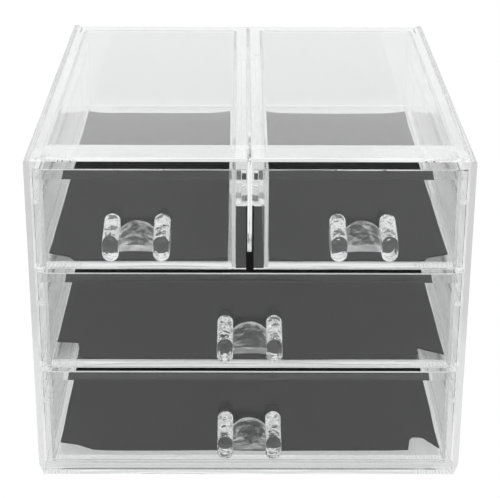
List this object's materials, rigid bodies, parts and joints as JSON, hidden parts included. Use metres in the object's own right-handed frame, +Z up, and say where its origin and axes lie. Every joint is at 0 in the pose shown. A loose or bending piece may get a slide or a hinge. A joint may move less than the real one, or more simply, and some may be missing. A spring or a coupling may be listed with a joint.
{
  "type": "acrylic drawer organizer",
  "caption": "Clear acrylic cabinet with small drawers side by side above full-width drawers, each with a dark liner and an arched pull.",
  "frame": {"origin": "centre of the face that the casing stands on, below the middle of the casing without its handles", "axes": "+X to the viewer's right when looking at the drawer fronts, +Y from the fronts to the back, +Z up. Drawers open along -Y."},
  "size_m": [0.24, 0.301, 0.1904],
  "materials": {
    "clear_acrylic": "polished clear cast acrylic",
    "liner_fabric": "black flocked liner",
    "pin_steel": "dark steel pins"
  },
  "bodies": {
    "casing": {"top_panel": "clear_acrylic", "left_side_panel": "clear_acrylic", "right_side_panel": "clear_acrylic", "back_panel": "clear_acrylic", "base_panel": "clear_acrylic", "front_sill": "clear_acrylic", "lower_shelf": "clear_acrylic", "upper_shelf": "clear_acrylic", "centre_divider": "clear_acrylic", "top_pins": "pin_steel", "upper_left_outer_rail": "clear_acrylic", "upper_left_inner_rail": "clear_acrylic", "upper_right_inner_rail": "clear_acrylic", "upper_right_outer_rail": "clear_acrylic", "lower_left_rail": "clear_acrylic", "lower_right_rail": "clear_acrylic", "middle_left_rail": "clear_acrylic", "middle_right_rail": "clear_acrylic"},
    "upper_left_drawer": {"upper_left_drawer_front": "clear_acrylic", "upper_left_drawer_floor": "clear_acrylic", "upper_left_drawer_left_side": "clear_acrylic", "upper_left_drawer_right_side": "clear_acrylic", "upper_left_drawer_back": "clear_acrylic", "upper_left_drawer_left_runner": "clear_acrylic", "upper_left_drawer_right_runner": "clear_acrylic", "upper_left_drawer_liner": "liner_fabric", "upper_left_drawer_handle": "clear_acrylic"},
    "upper_right_drawer": {"upper_right_drawer_front": "clear_acrylic", "upper_right_drawer_floor": "clear_acrylic", "upper_right_drawer_left_side": "clear_acrylic", "upper_right_drawer_right_side": "clear_acrylic", "upper_right_drawer_back": "clear_acrylic", "upper_right_drawer_left_runner": "clear_acrylic", "upper_right_drawer_right_runner": "clear_acrylic", "upper_right_drawer_liner": "liner_fabric", "upper_right_drawer_handle": "clear_acrylic"},
    "middle_drawer": {"middle_drawer_front": "clear_acrylic", "middle_drawer_floor": "clear_acrylic", "middle_drawer_left_side": "clear_acrylic", "middle_drawer_right_side": "clear_acrylic", "middle_drawer_back": "clear_acrylic", "middle_drawer_left_runner": "clear_acrylic", "middle_drawer_right_runner": "clear_acrylic", "middle_drawer_liner": "liner_fabric", "middle_drawer_handle": "clear_acrylic"},
    "lower_drawer": {"lower_drawer_front": "clear_acrylic", "lower_drawer_floor": "clear_acrylic", "lower_drawer_left_side": "clear_acrylic", "lower_drawer_right_side": "clear_acrylic", "lower_drawer_back": "clear_acrylic", "lower_drawer_left_runner": "clear_acrylic", "lower_drawer_right_runner": "clear_acrylic", "lower_drawer_liner": "liner_fabric", "lower_drawer_handle": "clear_acrylic"}
  },
  "joints": [
    {"name": "upper_left_drawer_slide", "type": "slide", "parent": "casing", "child": "upper_left_drawer", "axis": [0, -1, 0], "range_m": [0, 0.2]},
    {"name": "upper_right_drawer_slide", "type": "slide", "parent": "casing", "child": "upper_right_drawer", "axis": [0, -1, 0], "range_m": [0, 0.2]},
    {"name": "middle_drawer_slide", "type": "slide", "parent": "casing", "child": "middle_drawer", "axis": [0, -1, 0], "range_m": [0, 0.2]},
    {"name": "lower_drawer_slide", "type": "slide", "parent": "casing", "child": "lower_drawer", "axis": [0, -1, 0], "range_m": [0, 0.2]}
  ]
}
